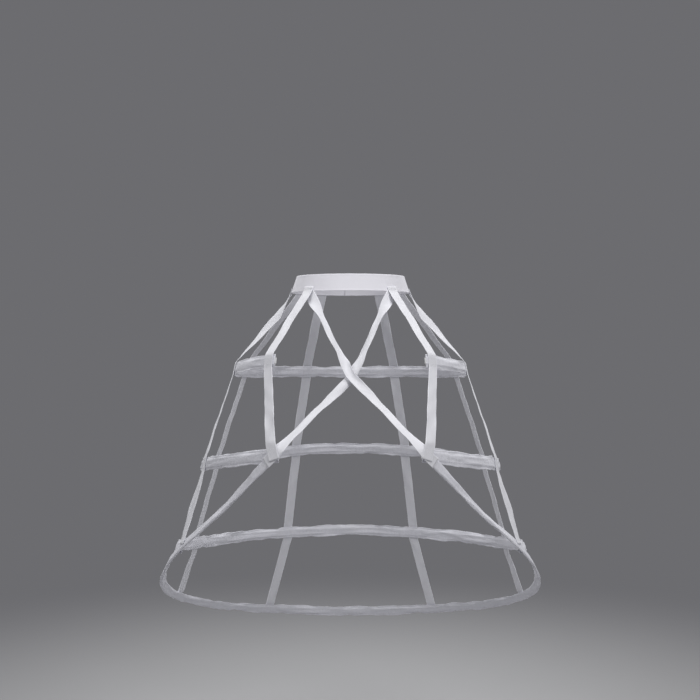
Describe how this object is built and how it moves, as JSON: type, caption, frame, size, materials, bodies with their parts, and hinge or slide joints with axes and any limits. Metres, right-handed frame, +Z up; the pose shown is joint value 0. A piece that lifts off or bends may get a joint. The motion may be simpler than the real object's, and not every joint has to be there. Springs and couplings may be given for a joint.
{
  "type": "crinoline cage",
  "caption": "White hooped skirt cage: an elastic waistband, hanging tapes and boned hoops that are open at the front, over a rim that dips low at the back.",
  "frame": {"origin": "middle of the waistband, halfway up its height", "axes": "+Z up, -Y towards the open front, +X to the right as seen from the front"},
  "size_m": [0.8056, 0.7166, 0.8186],
  "materials": {
    "elastic": "woven elastic with firm edges",
    "tape": "twill tape with woven edges",
    "casing": "plain cotton, gathered along the bone",
    "bone": "white coated spring steel",
    "bone_tip": "dipped white plastic"
  },
  "bodies": {
    "root": {"waistband": "elastic", "front_tape_left": "tape", "front_tape_right": "tape", "cross_tape_left": "tape", "cross_tape_right": "tape", "side_tape_left": "tape", "side_tape_right": "tape", "side_back_tape_left": "tape", "side_back_tape_right": "tape", "back_tape_left": "tape", "back_tape_right": "tape", "upper_hoop_casing": "casing", "middle_hoop_casing": "casing", "lower_hoop_casing": "casing", "rim_casing": "casing", "upper_hoop_bone": "bone", "middle_hoop_bone": "bone", "lower_hoop_bone": "bone", "rim_bone": "bone", "upper_hoop_tip_left": "bone_tip", "upper_hoop_tip_right": "bone_tip", "middle_hoop_tip_left": "bone_tip", "middle_hoop_tip_right": "bone_tip", "lower_hoop_tip_left": "bone_tip", "lower_hoop_tip_right": "bone_tip", "rim_tip_left": "bone_tip", "rim_tip_right": "bone_tip"}
  },
  "joints": []
}
